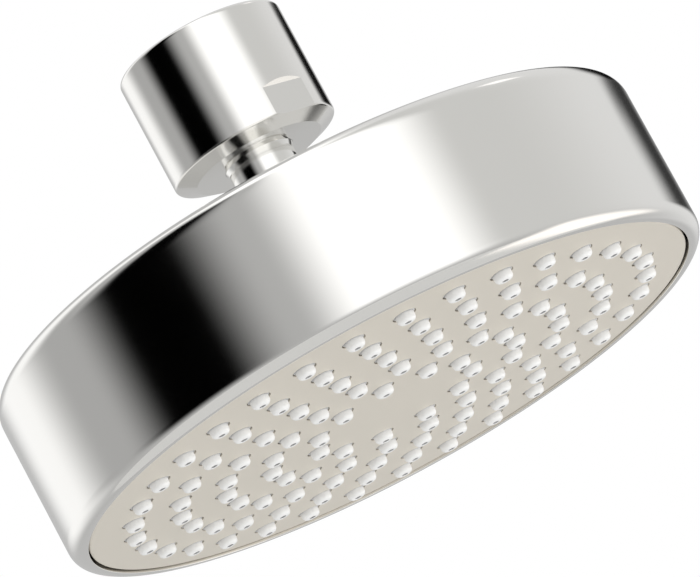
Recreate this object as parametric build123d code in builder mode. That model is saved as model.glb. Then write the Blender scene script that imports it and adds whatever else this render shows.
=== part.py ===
"""Rain shower head on a ball joint: wall collar, swivelling ball stem, drum housing and nozzle face.

Origin at the centre of the collar's inlet mouth, +Z up out of the mouth. Millimetres.
+X is square to a wrench flat, +Y runs along the row where every nozzle ring has a nozzle.
"""
import os
from math import atan2, degrees, radians, sqrt, tan

from build123d import *

os.makedirs("parts", exist_ok=True)

# Collar that screws on the shower arm
collar_d = 28.85
collar_h = 21.45
collar_edge_r = 0.8
skirt_h = 1.35  # conical skirt round the foot
foot_d = 22.4  # flat ring inside the skirt
wrench_across = 27.7
wrench_h = 5.0
wrench_slope = 40.0  # degrees, run-out of the cutter at the top of a flat
thread_bore_d = 18.6  # crest of a half-inch pipe thread
thread_l = 10.0
chamber_d = 18.0  # holds the washer, the seats and the ball
lip_t = 1.1  # lip that the ball shows through

# Inlet washer and filter
washer_t = 1.8
washer_bore_d = 12.4
screen_t = 0.4

# Ball joint
ball_d = 12.9
ball_rise = 2.25  # ball centre above the collar's foot
ball_crop = 3.4  # flat top above the ball centre
tilt_limit = 8.0  # degrees to either side
tilt_margin = 2.0  # degrees left between the neck and the lip
joint_gap = 0.2  # between pieces that move on each other
upper_seat_t = 4.7
upper_seat_bore_d = 9.0
ball_seal_t = 1.9
lower_seat_top = 0.3  # above the ball centre

# Ball stem
groove_h = 0.25  # between the ball and the neck
groove_d = 10.9
neck_d = 11.46
neck_l = 17.15  # collar's foot to the housing's top
flange_d = 18.0
flange_t = 1.5
flange_fillet = 2.5
spigot_d = 10.0
waterway_d = 5.5

# Flow regulator in the mouth of the ball
regulator_d = 9.0
regulator_t = 1.4
regulator_pocket_h = 2.6
orifice_count = 6
orifice_d = 1.0
orifice_ring_d = 5.4
regulator_ring_w = 1.1
regulator_ring_t = 0.7
clip_w = 0.9
clip_t = 0.5
clip_opening = 2.0

# Housing
head_d = 113.4
head_h = 28.5
top_edge_r = 3.25
rim_r = 1.95
wall_t = 2.6
roof_t = 2.5

# Domed spray face
face_gap = 0.5  # dark ring between the face and the housing
face_t = 1.0
face_wall_h = 7.0
crown_drop = 1.12  # crown of the dome below the housing's rim
dome_r = 960.0

# Nozzles, one ring after another from the middle
ring_first_r = 14.0
ring_pitch = 8.0
ring_counts = (11, 18, 23, 28, 33)
nozzle_hole_d = 4.1
nozzle_base_d = 3.5
nozzle_tip_d = 2.3
nozzle_l = 1.45
nozzle_sides = 8  # few faces, as there are so many nozzles and holes

# Nozzle mat and chamber plate
mat_t = 1.2
chamber_h = 10.0  # over the middle of the mat
plate_t = 2.2
plate_wall_t = 2.0
hub_d = 22.0
rib_count = 8
rib_t = 2.0
rib_h = 4.0

# Seals and fastening of the head
slip = 0.15  # radial clearance of pieces that slide together
seat_gap = 0.05  # between stacked pieces
neck_washer_t = 0.6
hub_gasket_t = 0.8
hub_seal_w = 1.0
hub_seal_h = 1.4
nut_washer_d = 20.0
nut_washer_t = 1.2
spring_washer_d = 16.0
spring_washer_t = 1.6
spring_washer_slit = 1.2
nut_across = 16.0
nut_t = 4.5
stem_end_l = 0.7  # spigot past the nut

# Levels
foot_z = -collar_h
floor_z = foot_z + lip_t
flat_top_z = foot_z + skirt_h + wrench_h
ball_z = foot_z + ball_rise
washer_z = -thread_l - washer_t
screen_z = washer_z - screen_t
upper_seat_z = screen_z - upper_seat_t
top_z = foot_z - neck_l
rim_z = top_z - head_h
crown_z = rim_z - crown_drop
flange_z = top_z + neck_washer_t
plate_under_z = crown_z + face_t + mat_t + chamber_h
hub_top_z = top_z - roof_t - hub_gasket_t
nut_washer_z = plate_under_z - nut_washer_t
spring_washer_z = nut_washer_z - spring_washer_t
nut_z = spring_washer_z - nut_t
stem_end_z = nut_z - stem_end_l
pocket_z = ball_z + ball_crop - regulator_pocket_h
regulator_ring_z = pocket_z + regulator_t - regulator_ring_t
hub_seal_z = (hub_top_z + plate_under_z) / 2
face_top_z = crown_z + face_wall_h

# Radii that follow from the fits
seat_r = chamber_d / 2 - joint_gap
socket_r = ball_d / 2 + joint_gap
ball_crop_r = sqrt((ball_d / 2) ** 2 - ball_crop**2)
mouth_r = sqrt(socket_r**2 - ball_rise**2)
neck_angle = atan2(mouth_r, ball_rise) - radians(tilt_limit + tilt_margin)
neck_top_z = ball_z - neck_d / 2 / tan(neck_angle)
ball_end_z = neck_top_z + groove_h
ball_end_r = sqrt((ball_d / 2) ** 2 - (ball_end_z - ball_z) ** 2)
drum_bore_r = head_d / 2 - wall_t
face_r = drum_bore_r - face_gap
mat_r = face_r - face_t - slip
spigot_bore_r = spigot_d / 2 + slip
pocket_r = regulator_d / 2 + slip
mat_lift = face_t + mat_t + seat_gap
nozzle_taper = degrees(atan2((nozzle_base_d - nozzle_tip_d) / 2, nozzle_l + face_t + mat_t / 2))
row_angle = 90.0  # every ring has a nozzle on +Y
same_level = 0.001  # edges this close in height lie at one level


def dome_z(radius, lift=0.0):
    """Height of the face's dome at a radius, or of a skin that lies a lift above it."""
    return crown_z + dome_r - sqrt((dome_r - lift) ** 2 - radius**2)


def domed_plug(radius, lift, top):
    """Round plug up to a level, with an underside that lies a lift above the face's dome."""
    with BuildPart() as plug:
        with BuildSketch(Plane.XY.offset(crown_z)):
            Circle(radius)
        extrude(amount=top - crown_z)
        with Locations(Location((0, 0, crown_z + dome_r), (90, 0, 0))):
            Sphere(dome_r - lift, mode=Mode.INTERSECT)
    return plug.part


def circles_at(edges, level):
    """Circular edges at a level, narrowest first."""
    circles = edges.filter_by(GeomType.CIRCLE)
    return circles.filter_by_position(Axis.Z, level - same_level, level + same_level).sort_by(SortBy.RADIUS)


def nozzle_rings():
    """Radius and count of each nozzle ring."""
    return [(ring_first_r + ring_pitch * i, count) for i, count in enumerate(ring_counts)]


# Collar
with BuildPart() as collar:
    with BuildSketch(Plane.XZ):
        with BuildLine():
            Polyline(
                (0, 0),
                (collar_d / 2, 0),
                (collar_d / 2, foot_z + skirt_h),
                (foot_d / 2, foot_z),
                (0, foot_z),
                close=True,
            )
        make_face()
    revolve(axis=Axis.Z)
    fillet(collar.edges().filter_by(GeomType.CIRCLE).sort_by(Axis.Z)[-1], collar_edge_r)
    cut = collar_d - wrench_across
    with BuildSketch(Plane.XZ):
        with BuildLine():
            Polyline(
                (wrench_across / 2, foot_z),
                (wrench_across / 2 + cut, foot_z),
                (wrench_across / 2 + cut, flat_top_z + cut / tan(radians(wrench_slope))),
                (wrench_across / 2, flat_top_z),
                close=True,
            )
        make_face()
        mirror(about=Plane.YZ)
    extrude(amount=collar_d, both=True, mode=Mode.SUBTRACT)
    with BuildSketch(Plane.XZ):
        with BuildLine():
            Polyline(
                (0, 0),
                (thread_bore_d / 2, 0),
                (thread_bore_d / 2, -thread_l),
                (chamber_d / 2, -thread_l),
                (chamber_d / 2, floor_z),
                (0, floor_z),
                close=True,
            )
        make_face()
    revolve(axis=Axis.Z, mode=Mode.SUBTRACT)
    with Locations((0, 0, ball_z)):
        Sphere(socket_r, mode=Mode.SUBTRACT)
collar.part.label = "collar"
export_step(collar.part, "parts/collar.step")

# Inlet washer
with BuildPart() as inlet_washer:
    with BuildSketch(Plane.XY.offset(washer_z)):
        Circle(seat_r)
        Circle(washer_bore_d / 2, mode=Mode.SUBTRACT)
    extrude(amount=washer_t)
inlet_washer.part.label = "inlet_washer"
export_step(inlet_washer.part, "parts/inlet_washer.step")

# Filter screen, gripped between the washer and the upper seat
with BuildPart() as filter_screen:
    with BuildSketch(Plane.XY.offset(screen_z + seat_gap)):
        Circle(seat_r - slip)
    extrude(amount=screen_t - 2 * seat_gap)
filter_screen.part.label = "filter_screen"
export_step(filter_screen.part, "parts/filter_screen.step")

# Upper seat, a cup over the ball
with BuildPart() as upper_seat:
    with BuildSketch(Plane.XY.offset(upper_seat_z)):
        Circle(seat_r)
    extrude(amount=upper_seat_t)
    with Locations((0, 0, ball_z)):
        Sphere(socket_r, mode=Mode.SUBTRACT)
    with Locations((0, 0, screen_z)):
        Hole(upper_seat_bore_d / 2, depth=upper_seat_t)
upper_seat.part.label = "upper_seat"
export_step(upper_seat.part, "parts/upper_seat.step")

# Ball seal, a lathe-cut ring under the upper seat
ball_seal_z = upper_seat_z - seat_gap - ball_seal_t
with BuildPart() as ball_seal:
    with BuildSketch(Plane.XY.offset(ball_seal_z)):
        Circle(seat_r)
        Circle(socket_r, mode=Mode.SUBTRACT)
    extrude(amount=ball_seal_t)
ball_seal.part.label = "ball_seal"
export_step(ball_seal.part, "parts/ball_seal.step")

# Lower seat, the bearing ring that the ball hangs in
with BuildPart() as lower_seat:
    with BuildSketch(Plane.XY.offset(floor_z + joint_gap)):
        Circle(seat_r)
    extrude(amount=ball_z + lower_seat_top - floor_z - joint_gap)
    with Locations((0, 0, ball_z)):
        Sphere(socket_r, mode=Mode.SUBTRACT)
lower_seat.part.label = "lower_seat"
export_step(lower_seat.part, "parts/lower_seat.step")

# Ball stem
with BuildPart() as ball_stem:
    with BuildSketch(Plane.XZ):
        with BuildLine():
            Line((0, ball_z + ball_crop), (ball_crop_r, ball_z + ball_crop))
            ThreePointArc((ball_crop_r, ball_z + ball_crop), (ball_d / 2, ball_z), (ball_end_r, ball_end_z))
            Polyline(
                (ball_end_r, ball_end_z),
                (groove_d / 2, ball_end_z),
                (groove_d / 2, neck_top_z),
                (neck_d / 2, neck_top_z),
                (neck_d / 2, flange_z + flange_t),
                (flange_d / 2, flange_z + flange_t),
                (flange_d / 2, flange_z),
                (spigot_d / 2, flange_z),
                (spigot_d / 2, stem_end_z),
                (0, stem_end_z),
                (0, ball_z + ball_crop),
            )
        make_face()
    revolve(axis=Axis.Z)
    fillet(circles_at(ball_stem.edges(), flange_z + flange_t)[0], flange_fillet)
    with BuildSketch(Plane.XY.offset(pocket_z)):
        Circle(pocket_r)
    extrude(amount=regulator_pocket_h, mode=Mode.SUBTRACT)
    with BuildSketch(Plane.XY.offset(stem_end_z)):
        Circle(waterway_d / 2)
    extrude(amount=pocket_z - stem_end_z, mode=Mode.SUBTRACT)
    with BuildSketch(Plane.XY.offset(hub_seal_z - seat_gap)):
        Circle(spigot_d / 2)
        Circle(spigot_d / 2 - hub_seal_w, mode=Mode.SUBTRACT)
    extrude(amount=hub_seal_h + 2 * seat_gap, mode=Mode.SUBTRACT)
ball_stem.part.label = "ball_stem"
export_step(ball_stem.part, "parts/ball_stem.step")

# Flow regulator, a disc with orifices under an elastic ring
with BuildPart() as flow_regulator:
    with BuildSketch(Plane.XY.offset(pocket_z)):
        Circle(regulator_d / 2)
    extrude(amount=regulator_t)
    with BuildSketch(Plane.XY.offset(regulator_ring_z)):
        Circle((orifice_ring_d + regulator_ring_w) / 2 + slip)
        Circle((orifice_ring_d - regulator_ring_w) / 2 - slip, mode=Mode.SUBTRACT)
    extrude(amount=regulator_ring_t, mode=Mode.SUBTRACT)
    with BuildSketch(Plane.XY.offset(pocket_z)):
        with PolarLocations(orifice_ring_d / 2, orifice_count):
            Circle(orifice_d / 2)
    extrude(amount=regulator_t, mode=Mode.SUBTRACT)
flow_regulator.part.label = "flow_regulator"
export_step(flow_regulator.part, "parts/flow_regulator.step")

# Elastic ring of the regulator
with BuildPart() as regulator_ring:
    with BuildSketch(Plane.XY.offset(regulator_ring_z + seat_gap)):
        Circle((orifice_ring_d + regulator_ring_w) / 2)
        Circle((orifice_ring_d - regulator_ring_w) / 2, mode=Mode.SUBTRACT)
    extrude(amount=regulator_ring_t)
regulator_ring.part.label = "regulator_ring"
export_step(regulator_ring.part, "parts/regulator_ring.step")

# Snap ring that keeps the regulator in its pocket
with BuildPart() as regulator_clip:
    with BuildSketch(Plane.XY.offset(pocket_z + regulator_t + 2 * seat_gap)):
        Circle(regulator_d / 2)
        Circle(regulator_d / 2 - clip_w, mode=Mode.SUBTRACT)
        with Locations((0, regulator_d / 2)):
            Rectangle(clip_opening, regulator_d, mode=Mode.SUBTRACT)
    extrude(amount=clip_t)
regulator_clip.part.label = "regulator_clip"
export_step(regulator_clip.part, "parts/regulator_clip.step")

# Washer between the stem's flange and the housing
with BuildPart() as neck_washer:
    with BuildSketch(Plane.XY.offset(top_z + seat_gap)):
        Circle(flange_d / 2 - slip)
        Circle(spigot_bore_r, mode=Mode.SUBTRACT)
    extrude(amount=neck_washer_t - 2 * seat_gap)
neck_washer.part.label = "neck_washer"
export_step(neck_washer.part, "parts/neck_washer.step")

# Housing, a drum open at the bottom
with BuildPart() as housing:
    with BuildSketch(Plane.XY.offset(rim_z)):
        Circle(head_d / 2)
    extrude(amount=head_h)
    fillet(housing.edges().filter_by(GeomType.CIRCLE).sort_by(Axis.Z)[-1], top_edge_r)
    fillet(housing.edges().filter_by(GeomType.CIRCLE).sort_by(Axis.Z)[0], rim_r)
    with BuildSketch(Plane.XY.offset(rim_z)):
        Circle(drum_bore_r)
    extrude(amount=head_h - roof_t, mode=Mode.SUBTRACT)
    with Locations((0, 0, top_z)):
        Hole(spigot_bore_r, depth=roof_t)
housing.part.label = "housing"
export_step(housing.part, "parts/housing.step")

# Gasket between the housing's roof and the hub
with BuildPart() as hub_gasket:
    with BuildSketch(Plane.XY.offset(hub_top_z + seat_gap)):
        Circle(hub_d / 2)
        Circle(spigot_bore_r, mode=Mode.SUBTRACT)
    extrude(amount=hub_gasket_t - 2 * seat_gap)
hub_gasket.part.label = "hub_gasket"
export_step(hub_gasket.part, "parts/hub_gasket.step")

# Lathe-cut ring that seals the spigot in the hub
with BuildPart() as hub_seal:
    with BuildSketch(Plane.XY.offset(hub_seal_z)):
        Circle(spigot_bore_r - seat_gap)
        Circle(spigot_d / 2 - hub_seal_w + seat_gap, mode=Mode.SUBTRACT)
    extrude(amount=hub_seal_h)
hub_seal.part.label = "hub_seal"
export_step(hub_seal.part, "parts/hub_seal.step")

# Chamber plate: roof of the water chamber with a hub, a skirt and radial ribs
with BuildPart() as chamber_plate:
    plate_top_z = plate_under_z + plate_t
    with BuildSketch(Plane.XZ):
        with BuildLine():
            Polyline(
                (mat_r - plate_wall_t, dome_z(mat_r - plate_wall_t, mat_lift)),
                (mat_r - plate_wall_t, plate_under_z),
                (spigot_bore_r, plate_under_z),
                (spigot_bore_r, hub_top_z),
                (hub_d / 2, hub_top_z),
                (hub_d / 2, plate_top_z),
                (mat_r, plate_top_z),
                (mat_r, dome_z(mat_r, mat_lift)),
                close=True,
            )
        make_face()
    revolve(axis=Axis.Z)
    rib_l = mat_r - plate_wall_t - hub_d / 2
    with BuildSketch(Plane.XY.offset(plate_top_z)):
        with PolarLocations(hub_d / 2 + rib_l / 2, rib_count):
            Rectangle(rib_l + rib_t, rib_t)
    extrude(amount=rib_h)
chamber_plate.part.label = "chamber_plate"
export_step(chamber_plate.part, "parts/chamber_plate.step")

# Flat washer, spring washer and nut that clamp hub and housing on the stem
with BuildPart() as nut_washer:
    with BuildSketch(Plane.XY.offset(nut_washer_z)):
        Circle(nut_washer_d / 2)
        Circle(spigot_bore_r, mode=Mode.SUBTRACT)
    extrude(amount=nut_washer_t - seat_gap)
nut_washer.part.label = "nut_washer"
export_step(nut_washer.part, "parts/nut_washer.step")

with BuildPart() as spring_washer:
    with BuildSketch(Plane.XY.offset(spring_washer_z)):
        Circle(spring_washer_d / 2)
        Circle(spigot_bore_r, mode=Mode.SUBTRACT)
        with Locations((0, spring_washer_d / 2)):
            Rectangle(spring_washer_slit, spring_washer_d, mode=Mode.SUBTRACT)
    extrude(amount=spring_washer_t - seat_gap)
spring_washer.part.label = "spring_washer"
export_step(spring_washer.part, "parts/spring_washer.step")

with BuildPart() as stem_nut:
    with BuildSketch(Plane.XY.offset(nut_z)):
        RegularPolygon(nut_across / 2, 6, major_radius=False)
        Circle(spigot_d / 2 + seat_gap, mode=Mode.SUBTRACT)
    extrude(amount=nut_t - seat_gap)
stem_nut.part.label = "stem_nut"
export_step(stem_nut.part, "parts/stem_nut.step")

# Spray face: a domed pan with a hole for every nozzle
with BuildPart() as spray_face:
    add(domed_plug(face_r, 0, face_top_z))
    add(domed_plug(face_r - face_t, face_t, face_top_z), mode=Mode.SUBTRACT)
    with BuildSketch(Plane.XY.offset(crown_z)):
        for ring_r, count in nozzle_rings():
            with PolarLocations(ring_r, count, start_angle=row_angle):
                RegularPolygon(nozzle_hole_d / 2, nozzle_sides)
    extrude(amount=face_top_z - crown_z, mode=Mode.SUBTRACT)
spray_face.part.label = "spray_face"
export_step(spray_face.part, "parts/spray_face.step")

# Nozzle mat: a moulded sheet with the nozzles that stand out through the face
with BuildPart() as nozzle_mat:
    add(domed_plug(mat_r, face_t + seat_gap, face_top_z))
    add(domed_plug(mat_r + slip, face_t + mat_t, face_top_z), mode=Mode.SUBTRACT)
    for ring_r, count in nozzle_rings():
        root_z = dome_z(ring_r, face_t + mat_t / 2)
        tip_z = dome_z(ring_r) - nozzle_l
        with BuildSketch(Plane.XY.offset(root_z)):
            with PolarLocations(ring_r, count, start_angle=row_angle):
                RegularPolygon(nozzle_base_d / 2, nozzle_sides)
        extrude(amount=tip_z - root_z, taper=nozzle_taper)
nozzle_mat.part.label = "nozzle_mat"
export_step(nozzle_mat.part, "parts/nozzle_mat.step")
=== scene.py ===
"""Rain shower head, dressed for its picture: chrome, a satin face, silicone nozzles and a light tent.

Lengths are metres in the packed part's frame: origin at the inlet mouth, +Z up out of the mouth.
"""
import math

import bmesh
import bpy
from bpy.props import FloatProperty, FloatVectorProperty, IntProperty, IntVectorProperty, PointerProperty
from mathutils import Matrix, Vector
from mathutils.geometry import delaunay_2d_cdt


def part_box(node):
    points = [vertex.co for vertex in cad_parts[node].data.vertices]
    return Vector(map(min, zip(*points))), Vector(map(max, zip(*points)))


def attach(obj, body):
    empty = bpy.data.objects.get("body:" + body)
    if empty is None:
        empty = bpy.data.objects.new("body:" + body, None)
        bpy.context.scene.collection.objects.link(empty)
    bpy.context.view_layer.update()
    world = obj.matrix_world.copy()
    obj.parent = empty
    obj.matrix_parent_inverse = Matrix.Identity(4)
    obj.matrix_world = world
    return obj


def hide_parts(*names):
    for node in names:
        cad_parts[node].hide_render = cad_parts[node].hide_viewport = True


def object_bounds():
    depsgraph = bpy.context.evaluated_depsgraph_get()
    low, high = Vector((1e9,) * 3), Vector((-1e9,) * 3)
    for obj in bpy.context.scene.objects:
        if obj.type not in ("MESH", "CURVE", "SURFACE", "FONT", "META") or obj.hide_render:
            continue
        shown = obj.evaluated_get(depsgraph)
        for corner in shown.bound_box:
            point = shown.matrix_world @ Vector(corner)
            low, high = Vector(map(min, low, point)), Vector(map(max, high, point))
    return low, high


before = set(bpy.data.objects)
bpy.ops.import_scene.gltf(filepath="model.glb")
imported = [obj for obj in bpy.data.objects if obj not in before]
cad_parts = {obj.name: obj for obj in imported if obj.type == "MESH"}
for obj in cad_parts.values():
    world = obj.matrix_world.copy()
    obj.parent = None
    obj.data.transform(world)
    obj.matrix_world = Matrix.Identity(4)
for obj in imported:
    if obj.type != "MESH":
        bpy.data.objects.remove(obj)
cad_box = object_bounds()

bl_info = {
    "name": "Rain shower head",
    "version": (1, 0, 0),
    "blender": (4, 5, 0),
    "location": "View3D > Sidebar > Shower head",
    "description": "Builds the looks of a rain shower head round its packed frame",
    "category": "Object",
}

MM = 0.001
TURN = 2 * math.pi
SENSOR_WIDTH = 36  # millimetres, the camera's own unit
ARC_STEP = math.radians(6)
NOZZLE_STEP = math.radians(11.5)  # coarser on the many nozzles, but under SHARP_ANGLE
SHARP_ANGLE = math.radians(12)
SAME_POINT = 0.0005 * MM
ON_PLANE = SAME_POINT / 5

# Steps round each turned piece, and along what repeats on it
COLLAR_SIDES = 240
STEM_SIDES = 160
HOUSING_SIDES = 320
FACE_SIDES = 256
MAT_SIDES = 128
STAGE_SIDES = 96
BEND_STEPS = 6
PUNCH_STEPS = 3
PANEL_STEPS = 40
THREAD_ROWS = 10  # in one pitch of the thread
WIRE_STEPS = 4  # in one pitch of the woven wire

# Thread groove: slope of its V in depths for each pitch, and the V's full depth before the root cuts it flat
GROOVE_SLOPE = 2.6
GROOVE_CUT = 1.4

# Names and numbers of Blender's own that the materials use
COVER = "cover"
MIX_A, MIX_B, MIX_RESULT = 6, 7, 2  # colour sockets of a mix node


def linear(hex_colour):
    """Linear RGB of an sRGB hex colour."""
    shares = [int(hex_colour[i : i + 2], 16) / 255 for i in (0, 2, 4)]
    return tuple(c / 12.92 if c <= 0.04045 else ((c + 0.055) / 1.055) ** 2.4 for c in shares)


def millimetres(name, value, description):
    """A length property whose default is given in millimetres."""
    return FloatProperty(
        name=name, description=description, default=value * MM, subtype="DISTANCE", precision=5
    )


def degrees(name, value, description):
    """An angle property whose default is given in degrees."""
    return FloatProperty(name=name, description=description, default=math.radians(value), subtype="ANGLE")


def colour(name, hex_colour, description):
    """A colour property whose default is an sRGB hex value."""
    return FloatVectorProperty(
        name=name, description=description, default=linear(hex_colour), subtype="COLOR", min=0, max=1
    )


class CollarSizes(bpy.types.PropertyGroup):
    """Sizes of the collar that the frame's boxes don't give."""

    edge_r: millimetres("Edge", 0.8, "Rounding of the top edge")
    skirt_h: millimetres("Skirt", 1.35, "Height of the conical skirt round the foot")
    foot_d: millimetres("Foot", 22.4, "Diameter of the flat foot inside the skirt")
    wall_end_r: millimetres("Wall's end", 0.55, "Rounding between the wall and the skirt")
    break_r: millimetres("Broken edge", 0.12, "Rounding between the skirt and the foot")
    wrench_across: millimetres("Across flats", 27.7, "Distance between the two wrench flats")
    wrench_h: millimetres("Flat height", 5.0, "Height of a wrench flat above the skirt")
    wrench_slope: degrees("Flat's slope", 40, "Slope above a flat, where the cutter ran out")
    socket_r: millimetres("Socket", 6.475, "Radius of the lip's seat round the ball's centre")
    ball_rise: millimetres("Ball's rise", 2.25, "Ball's centre above the foot")
    lip_t: millimetres("Lip", 1.1, "Thickness of the lip that closes the socket")
    chamber_d: millimetres("Chamber", 18.0, "Bore that holds the washer, the seats and the ball")
    thread_crest_d: millimetres("Thread crest", 18.6, "Bore of the inlet thread")
    thread_root_d: millimetres("Thread root", 20.9, "Diameter at the root of the inlet thread")
    thread_pitch: millimetres("Thread pitch", 1.814, "Pitch of the inlet thread")
    thread_l: millimetres("Thread length", 10.0, "Length of the inlet thread")


class StemSizes(bpy.types.PropertyGroup):
    """Sizes of the ball stem that the frame's boxes don't give."""

    ball_d: millimetres("Ball", 12.9, "Diameter of the ball")
    ball_crop: millimetres("Ball top", 3.4, "Flat top of the ball above its centre")
    neck_drop: millimetres("Neck drop", 1.029, "Neck's top below the collar's foot")
    groove_h: millimetres("Groove", 0.25, "Height of the groove between the ball and the neck")
    groove_d: millimetres("Groove bottom", 10.9, "Diameter at the bottom of the groove")
    neck_d: millimetres("Neck", 11.46, "Diameter of the neck")
    flange_t: millimetres("Flange", 1.5, "Thickness of the flange")
    flange_fillet: millimetres("Flange fillet", 2.5, "Hollow rounding from the neck to the flange")
    flange_lift: millimetres("Flange lift", 0.6, "Flange's underside above the housing")
    break_r: millimetres("Broken edge", 0.15, "Rounding of the turned edges")
    spigot_d: millimetres("Spigot", 10.0, "Diameter of the spigot in the housing")
    seal_depth: millimetres("Seal groove", 1.0, "Depth of the groove for the hub's seal")
    seal_play: millimetres("Seal play", 0.05, "Groove's room above and below the hub's seal")
    waterway_d: millimetres("Waterway", 5.5, "Bore of the stem")
    pocket_d: millimetres("Pocket", 9.3, "Pocket for the flow regulator in the ball's top")
    pocket_h: millimetres("Pocket depth", 2.6, "Depth of the pocket")


class HeadSizes(bpy.types.PropertyGroup):
    """Sizes of the housing, the spray face and the nozzles."""

    top_edge_r: millimetres("Top edge", 3.25, "Rounding of the housing's top edge")
    rim_r: millimetres("Rim", 2.35, "Rounding of the housing's rim")
    rim_inner_r: millimetres("Inner rim", 0.15, "Rounding of the rim's inner edge")
    wall_t: millimetres("Wall", 2.8, "Thickness of the housing's wall")
    roof_t: millimetres("Roof", 2.5, "Thickness of the housing's roof")
    hole_d: millimetres("Roof hole", 10.3, "Hole for the stem")
    dome_r: millimetres("Dome", 960, "Radius of the face's dome")
    face_t: millimetres("Face", 1.0, "Thickness of the face's sheet")
    face_edge_r: millimetres("Face edge", 0.4, "Bend round the face's edge")
    first_ring_r: millimetres("First ring", 14, "Radius of the innermost nozzle ring")
    ring_pitch: millimetres("Ring pitch", 8, "Distance from ring to ring")
    ring_counts: IntVectorProperty(
        name="Nozzles",
        description="Nozzles in each ring, from the middle",
        default=(11, 18, 23, 28, 33),
        size=5,
    )
    row_angle: degrees("Row", 90, "Direction of the row where every ring has a nozzle")
    hole_r: millimetres("Nozzle hole", 2.02, "Radius of a nozzle's hole in the face")
    hole_edge_r: millimetres("Hole edge", 0.12, "Rounding of a hole's punched edge")
    hole_sides: IntProperty(name="Hole sides", description="Steps round a hole or nozzle", default=32, min=8)


class NozzleSizes(bpy.types.PropertyGroup):
    """Sizes of one silicone nozzle and the mat behind it."""

    boss_r: millimetres("Boss", 1.86, "Radius of the boss that fills a nozzle's hole")
    boss_depth: millimetres("Boss depth", 0.2, "How far the boss stays behind the face")
    base_r: millimetres("Base", 1.62, "Radius of a nozzle at the face")
    length: millimetres("Length", 1.25, "Nozzle's height below the face")
    shoulder_r: millimetres("Shoulder", 0.7, "Rounding from the nozzle's side to its tip")
    tip_r: millimetres("Tip", 1.5, "Radius of the tip, to the corner that the shoulder rounds")
    outlet_r: millimetres("Outlet", 0.56, "Radius of the outlet")
    outlet_edge_r: millimetres("Outlet edge", 0.08, "Rounding of the outlet's edge")
    mat_t: millimetres("Mat", 1.15, "Thickness of the mat")
    seat_gap: millimetres("Mat gap", 0.05, "Gap between the face's sheet and the mat")


class WireSizes(bpy.types.PropertyGroup):
    """Sizes of the woven filter screen."""

    pitch: millimetres("Wire pitch", 0.6, "Distance from wire to wire")
    sides: IntProperty(name="Wire sides", description="Flats round a wire", default=6, min=3)


class Finishes(bpy.types.PropertyGroup):
    """Colours of the finishes."""

    chrome: colour("Chrome", "EEEDEA", "Polished chrome plate")
    nickel: colour("Satin nickel", "F5F0E6", "Satin face sheet")
    # Painted shade: a darker tone for the steep walls of the punched holes, standing in for the shade in the
    # gap round each nozzle
    punched: colour("Punched edge", "D6D0C5", "Walls of the holes punched in the face sheet")
    silicone: colour("Silicone", "F6F6F5", "Nozzles and their mat")
    acetal: colour("Acetal", "E9E6DC", "Ball seats")
    rubber: colour("Rubber", "1B1B1C", "Washers and seals")
    grey_abs: colour("Grey ABS", "8B8D8F", "Chamber plate")
    nylon: colour("Nylon", "DEDACF", "Neck washer and flow regulator")
    steel: colour("Stainless steel", "C9C7C2", "Filter wire, clip and washers")
    brass: colour("Brass", "D9B76B", "Stem nut")
    floor: colour("Floor", "E8E8E7", "Paper floor")


class StageSettings(bpy.types.PropertyGroup):
    """Camera and studio."""

    azimuth: degrees("Azimuth", 49.73, "Camera's side, 0 looks along +Y")
    elevation: degrees("Elevation", -14.347, "Camera's height, below the horizon here")
    roll: degrees("Roll", 28.507, "Camera's roll")
    target: FloatVectorProperty(
        name="Target",
        description="Point in the middle of the picture",
        default=(0, 3.714 * MM, -47.02 * MM),
        subtype="TRANSLATION",
    )
    distance: millimetres("Distance", 1132.9, "Camera to target")
    lens: FloatProperty(name="Lens", description="Focal length", default=363.4, unit="CAMERA")
    floor_drop: millimetres("Floor drop", 450, "Floor below the housing's rim")
    floor_r: millimetres("Floor radius", 600, "Radius of the paper floor")
    tent_r: millimetres("Tent radius", 2000, "Radius of the light tent")
    tent_top: millimetres("Tent top", 12500, "Top of the tent above the inlet")
    tent_foot: millimetres("Tent foot", 2600, "Foot of the tent below the inlet")
    tent_light: FloatProperty(name="Tent light", description="Brightness of a white card", default=1.3, min=0)
    fill_power: FloatProperty(
        name="Fill", description="Low fill light on matt surfaces", default=0.85, unit="POWER"
    )
    ambient: FloatProperty(name="Ambient", description="Sky's light on matt surfaces", default=0.85, min=0)


# Cards round the tent: degrees to the right of the camera where each begins and ends, and its tone
TENT_CARDS = (
    ("grey back wall", -180, -160, "ADADAD"),
    ("strip light", -137, -127, "ECECEC"),
    ("grey side wall", -98, -88, "9E9E9E"),
    ("black flag", -65, -40, "000000"),
    ("flag's pale edge", -16, -13, "A4A4A4"),
    ("key softbox", 9, 38, "FFFFFF"),
    ("pale side wall", 60, 75, "BEBEBD"),
    ("pale far wall", 128, 160, "CCCCCC"),
    ("grey back wall", 172, 180, "ADADAD"),
)
CARD_SKIRT = "A8A8A8"  # tone that every card fades to towards its foot
SKIRT_FADE = (-3, -40)  # degrees above the horizon between which the cards fade
CARD_TOP = "FFFFFF"  # tone that every card fades to towards the roof
TOP_FADE = (66, 81)

# Soft panels that face the head: degrees right of the camera and above the horizon, distance, and in the
# panel's own plane its two sides, its two ends, how far each of them fades, and its tone; in millimetres
PANELS = {
    "low_flag": (180, 0, 150, (-215, -50), (-25, 52), (85, 60, 40, 12), "303030"),
    "high_flag": (180, 0, 151, (-215, -42), (34, 122), (85, 40, 14, 40), "0A0A0A"),
    "low_softbox": (104, -42, 450, (-270, 270), (-200, 200), (130, 130, 120, 120), "FFFBF7"),
    "high_card": (96, 37, 250, (-36, 36), (-22, 30), (18, 18, 16, 16), "FFFDFC"),
}

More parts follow.
